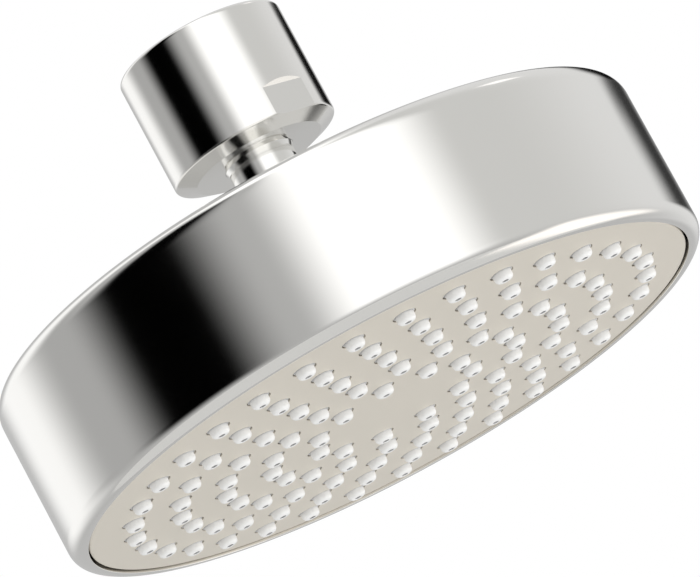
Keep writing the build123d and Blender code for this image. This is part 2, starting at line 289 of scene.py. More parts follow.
# Fill light: degrees right of the camera and above the horizon, distance as a share of the tent's radius,
# side of its square in metres, and how wide it shines
FILL_SPOT = (80, -58)
FILL_REACH = 0.28
FILL_SIZE = 0.5
FILL_SPREAD = math.radians(110)


def place_in_scene(piece):
    """Links a new object to the scene."""
    bpy.context.scene.collection.objects.link(piece)
    return piece


def new_piece(name, points, faces, material, machine=None):
    """A smooth mesh piece with crisp edges, its doubled points joined; machine may cut the mesh further."""
    mesh = bpy.data.meshes.new(name)
    mesh.from_pydata(points, [], faces)
    build = bmesh.new()
    build.from_mesh(mesh)
    bmesh.ops.remove_doubles(build, verts=build.verts, dist=SAME_POINT)
    if machine:
        machine(build)
    bmesh.ops.recalc_face_normals(build, faces=build.faces)
    build.to_mesh(mesh)
    build.free()
    mesh.shade_smooth()
    mesh.set_sharp_from_angle(angle=SHARP_ANGLE)
    mesh.materials.append(material)
    piece = place_in_scene(bpy.data.objects.new(name, mesh))
    even = piece.modifiers.new("Even shading", "WEIGHTED_NORMAL")
    even.keep_sharp = True
    even.weight = 100
    return piece


def soften(corners, step=ARC_STEP):
    """Outline of (radius, height) points from (radius, height, rounding) corners, with tangent arcs."""
    outline = []
    for before, corner, after in zip(corners[-1:] + corners[:-1], corners, corners[1:] + corners[:1]):
        point = Vector(corner[:2])
        rounding = corner[2]
        if rounding == 0:
            outline.append(point)
            continue
        into = (point - Vector(before[:2])).normalized()
        out = (Vector(after[:2]) - point).normalized()
        turn = math.atan2(into.x * out.y - into.y * out.x, into.dot(out))
        start = point - into * rounding * math.tan(abs(turn) / 2)
        inward = Vector((-into.y, into.x)) * math.copysign(1, turn)
        centre = start + inward * rounding
        steps = max(2, math.ceil(abs(turn) / step))
        for i in range(steps + 1):
            spoke = Matrix.Rotation(turn * i / steps, 2) @ (-inward * rounding)
            outline.append(centre + spoke)
    return outline


def arc(centre, radius, start, end):
    """Corners without rounding along an arc in the (radius, height) plane, its angles from outwards."""
    steps = max(2, math.ceil(abs(end - start) / ARC_STEP))
    angles = [start + (end - start) * i / steps for i in range(steps + 1)]
    return [(centre[0] + radius * math.cos(a), centre[1] + radius * math.sin(a), 0) for a in angles]


def even_angles(count):
    """Angles of a full turn, the first on +X."""
    return [TURN * i / count for i in range(count)]


def spun(radius, height, angle):
    """Point of a turned piece."""
    return Vector((radius * math.cos(angle), radius * math.sin(angle), height))


def turned(outline, angles, shape=spun):
    """Points and quads of a closed outline spun round Z; shape may move a point (radius, height, angle)."""
    points = [shape(radius, height, angle) for angle in angles for radius, height in outline]
    rows = len(outline)
    faces = []
    for i in range(len(angles)):
        near = i * rows
        far = (i + 1) % len(angles) * rows
        for j in range(rows):
            k = (j + 1) % rows
            faces.append((near + j, far + j, far + k, near + k))
    return points, faces


def toward(side, lift):
    """Direction at an angle round Z from +X and an angle above the horizon."""
    return Vector((math.cos(side) * math.cos(lift), math.sin(side) * math.cos(lift), math.sin(lift)))


def add_node(tree, kind, inputs=None, **settings):
    """Adds a node with its settings, and sets or links its inputs."""
    node = tree.nodes.new(kind)
    for name, value in settings.items():
        setattr(node, name, value)
    for socket, value in (inputs or {}).items():
        if isinstance(value, bpy.types.NodeSocket):
            tree.links.new(value, node.inputs[socket])
        else:
            node.inputs[socket].default_value = value
    return node


def new_tree(name):
    """A material with an empty node tree."""
    material = bpy.data.materials.new(name)
    material.use_nodes = True
    material.node_tree.nodes.clear()
    return material, material.node_tree


def opaque(rgb):
    """A colour with full alpha, as sockets want it."""
    return (*rgb, 1.0)


def per_metre(size_mm):
    """Noise scale whose features are about a size in millimetres."""
    return 1 / (size_mm * MM)


def polished_chrome_plate(finishes):
    """Polished chrome over nickel: a near mirror, a touch warm, with the faint haze that buffing leaves."""
    material, tree = new_tree("polished_chrome_plate")
    where = add_node(tree, "ShaderNodeTexCoord").outputs["Object"]
    haze = add_node(tree, "ShaderNodeTexNoise", {"Vector": where, "Scale": per_metre(9), "Detail": 4})
    rough = add_node(
        tree, "ShaderNodeMapRange", {"Value": haze.outputs["Fac"], "To Min": 0.085, "To Max": 0.125}
    )
    flow = add_node(tree, "ShaderNodeTexNoise", {"Vector": where, "Scale": per_metre(1.5), "Detail": 2})
    peel = add_node(
        tree, "ShaderNodeBump", {"Height": flow.outputs["Fac"], "Strength": 0.02, "Distance": 0.02 * MM}
    )
    shader = add_node(
        tree,
        "ShaderNodeBsdfPrincipled",
        {
            "Base Color": opaque(finishes.chrome),
            "Metallic": 1.0,
            "Roughness": rough.outputs["Result"],
            "Normal": peel.outputs["Normal"],
        },
    )
    add_node(tree, "ShaderNodeOutputMaterial", {"Surface": shader.outputs["BSDF"]})
    return material


def satin_nickel_steel(finishes):
    """Steel sheet with a bead blast finish and a nickel tint: an even satin sheen, a fine grit, and painted
    shade where the sheet stands steep.
    """
    material, tree = new_tree("satin_nickel_steel")
    where = add_node(tree, "ShaderNodeTexCoord").outputs["Object"]
    # The real grit is too fine to show, so it is drawn coarser
    grit = add_node(tree, "ShaderNodeTexNoise", {"Vector": where, "Scale": per_metre(0.25), "Detail": 3})
    cloud = add_node(tree, "ShaderNodeTexNoise", {"Vector": where, "Scale": per_metre(12), "Detail": 2})
    rough = add_node(
        tree, "ShaderNodeMapRange", {"Value": cloud.outputs["Fac"], "To Min": 0.56, "To Max": 0.64}
    )
    blast = add_node(
        tree, "ShaderNodeBump", {"Height": grit.outputs["Fac"], "Strength": 0.08, "Distance": 0.03 * MM}
    )
    # Painted shade: where the sheet stands steep, on the punched hole walls and round its bent edge, the
    # nickel gives way to the darker punched tone
    facing = add_node(tree, "ShaderNodeTexCoord").outputs["Normal"]
    upright = add_node(tree, "ShaderNodeSeparateXYZ", {"Vector": facing}).outputs["Z"]
    steep = add_node(tree, "ShaderNodeMath", {0: upright}, operation="ABSOLUTE").outputs[0]
    unshaded_share = add_node(tree, "ShaderNodeMapRange", {"Value": steep, "From Min": 0.2, "From Max": 0.8})
    skin = add_node(
        tree,
        "ShaderNodeMix",
        {
            "Factor": unshaded_share.outputs["Result"],
            MIX_A: opaque(finishes.punched),
            MIX_B: opaque(finishes.nickel),
        },
        data_type="RGBA",
    )
    shader = add_node(
        tree,
        "ShaderNodeBsdfPrincipled",
        {
            "Base Color": skin.outputs[MIX_RESULT],
            "Metallic": 1.0,
            "Roughness": rough.outputs["Result"],
            "Normal": blast.outputs["Normal"],
        },
    )
    add_node(tree, "ShaderNodeOutputMaterial", {"Surface": shader.outputs["BSDF"]})
    return material


def white_silicone(finishes):
    """Moulded silicone rubber: soft white, a little light passes through, with a dull moulded skin and
    painted shade in its bores and hollows.
    """
    material, tree = new_tree("moulded_white_silicone")
    where = add_node(tree, "ShaderNodeTexCoord").outputs["Object"]
    # The real skin is too fine to show, so it is drawn coarser
    skin = add_node(tree, "ShaderNodeTexNoise", {"Vector": where, "Scale": per_metre(0.3), "Detail": 2})
    rough = add_node(
        tree, "ShaderNodeMapRange", {"Value": skin.outputs["Fac"], "To Min": 0.36, "To Max": 0.5}
    )
    mould = add_node(
        tree, "ShaderNodeBump", {"Height": skin.outputs["Fac"], "Strength": 0.05, "Distance": 0.02 * MM}
    )
    # Painted shade: occlusion darkens the silicone in the outlets' bores and where the nozzles meet the mat
    bore = add_node(
        tree,
        "ShaderNodeAmbientOcclusion",
        {"Color": opaque(finishes.silicone), "Distance": 1.2 * MM},
        samples=8,
        only_local=True,
    )
    shader = add_node(
        tree,
        "ShaderNodeBsdfPrincipled",
        {
            "Base Color": bore.outputs["Color"],
            "Roughness": rough.outputs["Result"],
            "IOR": 1.41,
            "Subsurface Weight": 0.2,
            "Subsurface Radius": (0.8 * MM, 0.8 * MM, 0.8 * MM),
            "Subsurface Scale": 1.0,
            "Normal": mould.outputs["Normal"],
        },
    )
    add_node(tree, "ShaderNodeOutputMaterial", {"Surface": shader.outputs["BSDF"]})
    return material


def moulded_polymer(name, rgb, ior, roughness, grain_mm):
    """Moulded plastic or rubber: its roughness varies a little, over a fine moulded grain."""
    material, tree = new_tree(name)
    varies = 0.06
    where = add_node(tree, "ShaderNodeTexCoord").outputs["Object"]
    # The real grain is too fine to show, so it is drawn coarser
    grain = add_node(tree, "ShaderNodeTexNoise", {"Vector": where, "Scale": per_metre(grain_mm), "Detail": 3})
    rough = add_node(
        tree,
        "ShaderNodeMapRange",
        {"Value": grain.outputs["Fac"], "To Min": roughness - varies, "To Max": roughness + varies},
    )
    spark = add_node(
        tree, "ShaderNodeBump", {"Height": grain.outputs["Fac"], "Strength": 0.15, "Distance": 0.03 * MM}
    )
    shader = add_node(
        tree,
        "ShaderNodeBsdfPrincipled",
        {
            "Base Color": opaque(rgb),
            "Roughness": rough.outputs["Result"],
            "IOR": ior,
            "Normal": spark.outputs["Normal"],
        },
    )
    add_node(tree, "ShaderNodeOutputMaterial", {"Surface": shader.outputs["BSDF"]})
    return material


def turned_metal(name, rgb, roughness, groove_mm):
    """Metal as the lathe leaves it: rings round the axis that catch the light."""
    material, tree = new_tree(name)
    varies = 0.05
    where = add_node(tree, "ShaderNodeTexCoord").outputs["Object"]
    # Real tool marks are too fine to show, so they are drawn coarser
    rings = add_node(
        tree,
        "ShaderNodeTexWave",
        {"Vector": where, "Scale": per_metre(groove_mm) / TURN, "Distortion": 0.4, "Detail": 1},
        wave_type="RINGS",
        rings_direction="Z",
    )
    rough = add_node(
        tree,
        "ShaderNodeMapRange",
        {"Value": rings.outputs["Fac"], "To Min": roughness - varies, "To Max": roughness + varies},
    )
    tool = add_node(
        tree, "ShaderNodeBump", {"Height": rings.outputs["Fac"], "Strength": 0.1, "Distance": 0.02 * MM}
    )
    shader = add_node(
        tree,
        "ShaderNodeBsdfPrincipled",
        {
            "Base Color": opaque(rgb),
            "Metallic": 1.0,
            "Roughness": rough.outputs["Result"],
            "Normal": tool.outputs["Normal"],
        },
    )
    add_node(tree, "ShaderNodeOutputMaterial", {"Surface": shader.outputs["BSDF"]})
    return material


def paper_floor(finishes):
    """Seamless paper: matt, with a barely visible tooth."""
    material, tree = new_tree("matt_paper_floor")
    where = add_node(tree, "ShaderNodeTexCoord").outputs["Object"]
    tooth = add_node(tree, "ShaderNodeTexNoise", {"Vector": where, "Scale": per_metre(1.0), "Detail": 3})
    bump = add_node(
        tree, "ShaderNodeBump", {"Height": tooth.outputs["Fac"], "Strength": 0.05, "Distance": 0.05 * MM}
    )
    shader = add_node(
        tree,
        "ShaderNodeBsdfPrincipled",
        {"Base Color": opaque(finishes.floor), "Roughness": 0.9, "Normal": bump.outputs["Normal"]},
    )
    add_node(tree, "ShaderNodeOutputMaterial", {"Surface": shader.outputs["BSDF"]})
    return material


def tent_cloth(stage):
    """Lit tent wall: a tone for each card, fading to grey near the foot and to white near the roof."""
    material, tree = new_tree("lit_tent_cloth")
    where = add_node(tree, "ShaderNodeTexCoord").outputs["Object"]
    around = add_node(tree, "ShaderNodeTexGradient", {"Vector": where}, gradient_type="RADIAL")
    cards = add_node(tree, "ShaderNodeValToRGB", {"Fac": around.outputs["Fac"]})
    ramp = cards.color_ramp
    ramp.interpolation = "EASE"
    stops = [(side / 360 + 0.5, tone) for _, start, end, tone in TENT_CARDS for side in (start, end)]
    while len(ramp.elements) < len(stops):
        ramp.elements.new(1)
    for element, (position, tone) in zip(ramp.elements, stops):
        element.position = position
        element.color = opaque(linear(tone))
    height = add_node(tree, "ShaderNodeSeparateXYZ", {"Vector": where}).outputs["Z"]
    cloth = cards.outputs["Color"]
    for tone, fade in ((CARD_SKIRT, SKIRT_FADE), (CARD_TOP, TOP_FADE)):
        start, end = (stage.tent_r * math.tan(math.radians(angle)) for angle in fade)
        share = add_node(
            tree,
            "ShaderNodeMapRange",
            {"Value": height, "From Min": start, "From Max": end},
            interpolation_type="SMOOTHSTEP",
        )
        mixed = add_node(
            tree,
            "ShaderNodeMix",
            {"Factor": share.outputs["Result"], MIX_A: cloth, MIX_B: opaque(linear(tone))},
            data_type="RGBA",
        )
        cloth = mixed.outputs[MIX_RESULT]
    light = add_node(tree, "ShaderNodeEmission", {"Color": cloth, "Strength": stage.tent_light})
    add_node(tree, "ShaderNodeOutputMaterial", {"Surface": light.outputs["Emission"]})
    return material


def soft_card_cloth(name, tone, strength):
    """A glowing card, dark or light, that thins out to nothing round its edge."""
    material, tree = new_tree(name)
    cover = add_node(tree, "ShaderNodeAttribute", attribute_name=COVER).outputs["Fac"]
    light = add_node(tree, "ShaderNodeEmission", {"Color": opaque(linear(tone)), "Strength": strength})
    clear = add_node(tree, "ShaderNodeBsdfTransparent")
    card = add_node(tree, "ShaderNodeMixShader", {"Fac": cover, 1: clear.outputs[0], 2: light.outputs[0]})
    add_node(tree, "ShaderNodeOutputMaterial", {"Surface": card.outputs["Shader"]})
    return material


def stainless_wire(finishes):
    """Drawn stainless wire: bright grey with a soft drawn sheen."""
    return turned_metal("drawn_stainless_wire", finishes.steel, 0.25, 0.4)


made = {}


def shared(finish):
    """A finish that several pieces wear, made once."""
    if finish not in made:
        made[finish] = finish(bpy.context.scene.shower_finishes)
    return made[finish]


def dress(piece, body, slot, *nodes):
    """Lets a piece ride a body and stand for its nodes, which it hides; slot is not used."""
    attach(piece, body)
    if nodes:
        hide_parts(*nodes)


def paint(node, material):
    """Gives a packed node a finish of its own."""
    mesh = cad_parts[node].data
    mesh.materials.clear()
    mesh.materials.append(material)


def mill_flats(build, flat_x, flat_top, slope):
    """Mills two wrench flats across X, each with a slope above it where the cutter ran out."""
    outside = 0.8 * flat_x  # faces nearer the axis than this are left alone
    for side in (1, -1):
        for above, lean in ((False, 0), (True, slope)):
            faces = []
            for face in build.faces:
                middle = face.calc_center_median()
                if side * middle.x > outside and (middle.z > flat_top) == above:
                    faces.append(face)
            edges = {edge for face in faces for edge in face.edges}
            points = {point for face in faces for point in face.verts}
            bmesh.ops.bisect_plane(
                build,
                geom=[*faces, *edges, *points],
                dist=ON_PLANE,
                plane_co=(side * flat_x, 0, flat_top),
                plane_no=(side * math.cos(lean), 0, -math.sin(lean)),
            )
    for point in build.verts:
        limit = flat_x + max(0, point.co.z - flat_top) * math.tan(slope)
        point.co.x = max(-limit, min(limit, point.co.x))


class SHOWER_OT_collar(bpy.types.Operator):
    """Collar: a turned nut with a conical skirt, two wrench flats, the ball's lip and the inlet thread"""

    bl_idname = "shower.collar"
    bl_label = "Collar"

    def execute(self, context):
        sizes = context.scene.shower_collar
        low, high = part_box("collar")
        radius = high.x
        foot = low.z
        wall_end = foot + sizes.skirt_h
        flat_top = wall_end + sizes.wrench_h
        crest = sizes.thread_crest_d / 2
        depth = sizes.thread_root_d / 2 - crest
        pitch = sizes.thread_pitch
        thread_end = high.z - sizes.thread_l
        mouth_bevel = depth + SAME_POINT
        rows = THREAD_ROWS * math.ceil((sizes.thread_l - mouth_bevel) / pitch)
        thread = [
            (crest, thread_end + (sizes.thread_l - mouth_bevel) * i / rows, 0) for i in range(rows + 1)
        ]
        rises = (sizes.ball_rise, sizes.ball_rise - sizes.lip_t)
        seat = [-math.asin(rise / sizes.socket_r) for rise in rises]
        outline = soften(
            [
                (crest + depth, high.z, 0),
                (radius, high.z, sizes.edge_r),
                (radius, flat_top, 0),
                (radius, wall_end, sizes.wall_end_r),
                (sizes.foot_d / 2, foot, sizes.break_r),
                *arc((0, foot + sizes.ball_rise), sizes.socket_r, *seat),
                (sizes.chamber_d / 2, foot + sizes.lip_t, 0),
                (sizes.chamber_d / 2, thread_end, 0),
                *thread,
            ]
        )

        def shape(r, z, angle):
            """Cuts the thread's groove into the bore."""
            if abs(r - crest) < SAME_POINT and z >= thread_end:
                along = (z / pitch - angle / TURN) % 1
                groove = max(0, 1 - abs(along - 0.5) * GROOVE_SLOPE)
                fade = min(1, (z - thread_end) / pitch)
                r = crest + depth * min(1, groove * GROOVE_CUT) * fade
            return spun(r, z, angle)

        def machine(build):
            """Mills the wrench flats."""
            mill_flats(build, sizes.wrench_across / 2, flat_top, sizes.wrench_slope)

        points, faces = turned(outline, even_angles(COLLAR_SIDES), shape)
        piece = new_piece("collar_turned", points, faces, shared(polished_chrome_plate), machine)
        dress(piece, "collar_body", "polished_chrome", "collar")
        return {"FINISHED"}


class SHOWER_OT_ball_stem(bpy.types.Operator):
    """Ball stem: ball, groove, neck, flange and spigot turned in one piece"""

    bl_idname = "shower.ball_stem"
    bl_label = "Ball stem"

    def execute(self, context):
        sizes = context.scene.shower_stem
        low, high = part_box("ball_stem")
        seal_low, seal_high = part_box("hub_seal")
        neck_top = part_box("collar")[0].z - sizes.neck_drop
        ball_end = neck_top + sizes.groove_h
        ball = sizes.ball_d / 2
        centre = high.z - sizes.ball_crop
        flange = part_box("housing")[1].z + sizes.flange_lift
        spigot = sizes.spigot_d / 2
        break_r = sizes.break_r
        ball_zone = [math.asin(rise / ball) for rise in (sizes.ball_crop, ball_end - centre)]
        outline = soften(
            [
                (sizes.pocket_d / 2, high.z, break_r),
                *arc((0, centre), ball, *ball_zone),
                (sizes.groove_d / 2, ball_end, 0),
                (sizes.groove_d / 2, neck_top, 0),
                (sizes.neck_d / 2, neck_top, break_r / 2),
                (sizes.neck_d / 2, flange + sizes.flange_t, sizes.flange_fillet),
                (high.x, flange + sizes.flange_t, break_r),
                (high.x, flange, break_r),
                (spigot, flange, 0),
                (spigot, seal_high.z + sizes.seal_play, 0),
                (spigot - sizes.seal_depth, seal_high.z + sizes.seal_play, 0),
                (spigot - sizes.seal_depth, seal_low.z - sizes.seal_play, 0),
                (spigot, seal_low.z - sizes.seal_play, 0),
                (spigot, low.z, break_r),
                (sizes.waterway_d / 2, low.z, break_r),
                (sizes.waterway_d / 2, high.z - sizes.pocket_h, 0),
                (sizes.pocket_d / 2, high.z - sizes.pocket_h, 0),
            ]
        )
        points, faces = turned(outline, even_angles(STEM_SIDES))
        piece = new_piece("ball_stem_turned", points, faces, shared(polished_chrome_plate))
        dress(piece, "head", "polished_chrome", "ball_stem")
        return {"FINISHED"}


class SHOWER_OT_housing(bpy.types.Operator):
    """Housing: a drum with a rounded top edge and a rounded rim"""

    bl_idname = "shower.housing"
    bl_label = "Housing"

    def execute(self, context):
        sizes = context.scene.shower_head
        low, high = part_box("housing")
        bore = high.x - sizes.wall_t
        ceiling = high.z - sizes.roof_t
        outline = soften(
            [
                (sizes.hole_d / 2, high.z, 0),
                (high.x, high.z, sizes.top_edge_r),
                (high.x, low.z, sizes.rim_r),
                (bore, low.z, sizes.rim_inner_r),
                (bore, ceiling, 0),
                (sizes.hole_d / 2, ceiling, 0),
            ]
        )
        points, faces = turned(outline, even_angles(HOUSING_SIDES))
        piece = new_piece("housing_drum", points, faces, shared(polished_chrome_plate))
        dress(piece, "head", "polished_chrome", "housing")
        return {"FINISHED"}


def nozzle_places(sizes):
    """Centre of every nozzle, ring after ring."""
    for ring, count in enumerate(sizes.ring_counts):
        radius = sizes.first_ring_r + ring * sizes.ring_pitch
        for i in range(count):
            angle = sizes.row_angle + TURN * i / count
            yield Vector((radius * math.cos(angle), radius * math.sin(angle)))


def ring_of(centre, radius, count):
    """Points of a circle in the face's plane."""
    return [centre + radius * Vector((math.cos(a), math.sin(a))) for a in even_angles(count)]


def pierced_disc(radius, hole_r, sizes, rim_sides):
    """Flat disc with a hole for every nozzle: points, the rim's first, then each hole's; triangles; loops."""
    middle = Vector((0, 0))
    loops = [ring_of(middle, radius, rim_sides)]
    loops += [ring_of(centre, hole_r, sizes.hole_sides) for centre in nozzle_places(sizes)]
    points = [point / MM for loop in loops for point in loop]
    edges = []
    for loop in loops:
        first = len(edges)
        edges += [(first + i, first + (i + 1) % len(loop)) for i in range(len(loop))]
    # Two rings of points keep the triangles even in the bare middle
    shares, sides = (0.3, 0.6), 12
    points += [p / MM for share in shares for p in ring_of(middle, share * sizes.first_ring_r, sides)]
    inside_edges, tolerance = 1, 1e-6
    _, _, faces, origins, _, _ = delaunay_2d_cdt(points, edges, [], inside_edges, tolerance)
    triangles = []
    for face in faces:
        corners = tuple(origins[v][0] for v in face)
        # A triangle whose corners all lie on one hole's ring lies in that hole
        holes = {(v - rim_sides) // sizes.hole_sides for v in corners}
        if len(holes) > 1 or not 0 <= min(holes) < len(loops) - 1:
            triangles.append(corners)
    return [p * MM for p in points], triangles, loops


def joined_loops(first, second, count):
    """Quads between two rings of as many points, given by their first point's number."""
    return [(first + i, first + (i + 1) % count, second + (i + 1) % count, second + i) for i in range(count)]


def dome_level(crown, dome, r, lift):
    """Height, a distance from the axis, of a skin a lift above a dome that hangs down to its crown."""
    return crown + dome - math.sqrt((dome - lift) ** 2 - r**2)


def add_ring(points, centre, radius, count, height):
    """Adds a ring of points at the height for each distance from the axis, and gives its first number."""
    first = len(points)
    points.extend(Vector((p.x, p.y, height(p.length))) for p in ring_of(centre, radius, count))
    return first


def close_back(points, faces, flat, triangles, loops, inner, height):
    """Adds the back skin: the front's triangles turned over, between the inner rings of its loops."""
    back = [first + i for loop, first in zip(loops, inner) for i in range(len(loop))]
    for point in flat[len(back) :]:
        back.append(len(points))
        points.append(Vector((point.x, point.y, height(point.length))))
    faces += [tuple(back[v] for v in reversed(face)) for face in triangles]


def quarter_round(steps):
    """Run and rise along a quarter circle of radius 1, from flat to upright, without its start."""
    angles = [math.pi / 2 * i / steps for i in range(1, steps + 1)]
    return [(math.sin(a), 1 - math.cos(a)) for a in angles]


class SHOWER_OT_spray_face(bpy.types.Operator):
    """Spray face: a domed pan of satin sheet, with a punched hole for every nozzle"""

    bl_idname = "shower.spray_face"
    bl_label = "Spray face"

    def execute(self, context):
        sizes = context.scene.shower_head
        low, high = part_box("spray_face")
        edge_r, hole_edge = sizes.face_edge_r, sizes.hole_edge_r
        flat_r = high.x - edge_r

        def outside(r):
            return dome_level(low.z, sizes.dome_r, r, 0)

        def inside(r):
            return dome_level(low.z, sizes.dome_r, r, sizes.face_t)

        flat, triangles, loops = pierced_disc(flat_r, sizes.hole_r + hole_edge, sizes, FACE_SIDES)
        points = [Vector((p.x, p.y, outside(p.length))) for p in flat]
        faces = list(triangles)
        inner = []

        def run(first, centre, count, rings):
            """Joins a loop of the front to rings of (radius, height) one after another."""
            for radius, height in rings:
                ring = add_ring(points, centre, radius, count, height)
                faces.extend(joined_loops(first, ring, count))
                first = ring
            inner.append(first)

        bend = []
        for out, rise in quarter_round(BEND_STEPS):
            level = outside(flat_r) + edge_r * rise
            bend.append((flat_r + edge_r * out, lambda r, level=level: level))
        wall = [(high.x, lambda r: high.z), (high.x - sizes.face_t, lambda r: high.z)]
        run(0, Vector((0, 0)), FACE_SIDES, [*bend, *wall, (high.x - sizes.face_t, inside)])
        punched = []
        for out, rise in quarter_round(PUNCH_STEPS):
            radius = sizes.hole_r + hole_edge * (1 - out)
            punched.append((radius, lambda r, lift=hole_edge * rise: outside(r) + lift))
        first = FACE_SIDES
        for centre in nozzle_places(sizes):
            run(first, centre, sizes.hole_sides, [*punched, (sizes.hole_r, inside)])
            first += sizes.hole_sides
        close_back(points, faces, flat, triangles, loops, inner, inside)
        piece = new_piece("spray_face_sheet", points, faces, shared(satin_nickel_steel))
        dress(piece, "head", "satin_nickel_steel", "spray_face")
        return {"FINISHED"}


class SHOWER_OT_nozzle_mat(bpy.types.Operator):
    """Nozzle mat: one silicone moulding, a sheet with a bored nozzle through every hole of the face"""

    bl_idname = "shower.nozzle_mat"
    bl_label = "Nozzle mat"

    def execute(self, context):
        sizes = context.scene.shower_head
        nozzle = context.scene.shower_nozzle
        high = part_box("nozzle_mat")[1]
        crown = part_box("spray_face")[0].z
        under = sizes.face_t + nozzle.seat_gap
        top = under + nozzle.mat_t

        def underside(r):
            return dome_level(crown, sizes.dome_r, r, under)

        def upside(r):
            return dome_level(crown, sizes.dome_r, r, top)

        profile = soften(
            [
                (nozzle.boss_r, nozzle.boss_depth, 0),
                (nozzle.base_r, nozzle.boss_depth, 0),
                (nozzle.tip_r, -nozzle.length, nozzle.shoulder_r),
                (nozzle.outlet_r, -nozzle.length, nozzle.outlet_edge_r),
                (nozzle.outlet_r, top, 0),
                (nozzle.boss_r, top, 0),
            ],
            NOZZLE_STEP,
        )[:-2]
        flat, triangles, loops = pierced_disc(high.x, nozzle.boss_r, sizes, MAT_SIDES)
        points = [Vector((p.x, p.y, underside(p.length))) for p in flat]
        faces = list(triangles)
        inner = [add_ring(points, Vector((0, 0)), high.x, MAT_SIDES, upside)]
        faces += joined_loops(0, inner[0], MAT_SIDES)
        first = MAT_SIDES
        for centre in nozzle_places(sizes):
            previous = first
            root = dome_level(crown, sizes.dome_r, centre.length, 0)
            rings = [(radius, lambda r, z=root + height: z) for radius, height in profile]
            for radius, height in (*rings, (nozzle.outlet_r, upside)):
                ring = add_ring(points, centre, radius, sizes.hole_sides, height)
                faces += joined_loops(previous, ring, sizes.hole_sides)
                previous = ring
            inner.append(previous)
            first += sizes.hole_sides
        close_back(points, faces, flat, triangles, loops, inner, upside)
        piece = new_piece("nozzle_mat_moulding", points, faces, shared(white_silicone))
        dress(piece, "head", "white_silicone", "nozzle_mat")
        return {"FINISHED"}


class SHOWER_OT_filter_screen(bpy.types.Operator):
    """Filter screen: plain woven steel wire in the inlet"""

    bl_idname = "shower.filter_screen"
    bl_label = "Filter screen"

    def execute(self, context):
        sizes = context.scene.shower_wire
        low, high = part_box("filter_screen")
        wire_r = (high.z - low.z) / 4
        middle = (low.z + high.z) / 2
        reach = high.x - wire_r
        count = int(reach // sizes.pitch)
        points, faces = [], []
        for along in (0, 1):
            for lane in range(-count, count + 1):
                across = lane * sizes.pitch
                half = math.sqrt(reach**2 - across**2)
                steps = max(2, math.ceil(2 * half / (sizes.pitch / WIRE_STEPS)))
                first = len(points)
                for step in range(steps + 1):
                    run = -half + 2 * half * step / steps
                    wave = math.cos(math.pi * (run / sizes.pitch + lane + along))
                    for side in range(sizes.sides):
                        a = TURN * side / sizes.sides
                        reach_out = across + wire_r * math.cos(a)
                        height = middle + wire_r * (wave + math.sin(a))
                        spot = (run, reach_out) if along == 0 else (reach_out, run)
                        points.append(Vector((*spot, height)))
                for step in range(steps):
                    ring = first + step * sizes.sides
                    faces += joined_loops(ring, ring + sizes.sides, sizes.sides)
                faces.append(tuple(first + side for side in range(sizes.sides)))
                last = first + steps * sizes.sides
                faces.append(tuple(last + side for side in range(sizes.sides)))
        piece = new_piece("filter_screen_woven", points, faces, shared(stainless_wire))
        dress(piece, "collar_body", "stainless_steel", "filter_screen")
        return {"FINISHED"}


class SHOWER_OT_inner_pieces(bpy.types.Operator):
    """Inner pieces: a finish for every packed piece that keeps its own form"""

    bl_idname = "shower.inner_pieces"
    bl_label = "Inner pieces"

    def execute(self, context):
        finishes = context.scene.shower_finishes
        # Acetal turned from rod: waxy off-white with a low sheen
        acetal = moulded_polymer("turned_acetal", finishes.acetal, 1.48, 0.4, 0.4)
        # EPDM rubber moulded to shape: near black and dull
        rubber = moulded_polymer("moulded_epdm_rubber", finishes.rubber, 1.48, 0.65, 0.2)
        # ABS injection moulded: mid grey with a spark-eroded grain
        abs_grey = moulded_polymer("moulded_grey_abs", finishes.grey_abs, 1.54, 0.5, 0.35)
        # Nylon injection moulded: milky with a soft sheen
        nylon = moulded_polymer("moulded_nylon", finishes.nylon, 1.53, 0.45, 0.3)
        # Stainless steel punched from strip: grey with a rolled sheen
        steel = turned_metal("rolled_stainless_steel", finishes.steel, 0.3, 0.3)
        # Brass turned on a lathe: yellow, with tool rings
        brass = turned_metal("turned_brass", finishes.brass, 0.28, 0.25)
        groups = (
            (acetal, ("upper_seat", "lower_seat")),
            (rubber, ("inlet_washer", "ball_seal", "hub_seal", "hub_gasket", "regulator_ring")),
            (abs_grey, ("chamber_plate",)),
            (nylon, ("neck_washer", "flow_regulator")),
            (steel, ("regulator_clip", "nut_washer", "spring_washer")),
            (brass, ("stem_nut",)),
        )
        for material, nodes in groups:
            for node in nodes:
                paint(node, material)
        return {"FINISHED"}


def soft_panel(name, panel, camera_side, strength):
    """A flat panel that faces the head, whose cover fades out towards its sides and ends."""
    turn, lift, distance, sides, ends, fades, tone = panel
    side = camera_side + math.radians(turn)
    away = toward(side, math.radians(lift))
    across = Vector((-math.sin(side), math.cos(side), 0))
    up = away.cross(across)
    steps = PANEL_STEPS
    points, cover = [], []
    for i in range(steps + 1):
        for j in range(steps + 1):
            x = sides[0] + (sides[1] - sides[0]) * i / steps
            y = ends[0] + (ends[1] - ends[0]) * j / steps
            points.append(MM * (away * distance + across * x + up * y))
            gaps = (x - sides[0], sides[1] - x, y - ends[0], ends[1] - y)
            shares = [min(1, gap / fade) for gap, fade in zip(gaps, fades)]
            cover.append(math.prod(share * share * (3 - 2 * share) for share in shares))
    corners = [i * (steps + 1) + j for i in range(steps) for j in range(steps)]
    faces = [(first, first + 1, first + steps + 2, first + steps + 1) for first in corners]
    mesh = bpy.data.meshes.new(name)
    mesh.from_pydata(points, [], faces)
    mesh.attributes.new(COVER, "FLOAT", "POINT").data.foreach_set("value", cover)
    mesh.materials.append(soft_card_cloth("lit_" + name, tone, strength))
    return place_in_scene(bpy.data.objects.new(name, mesh))


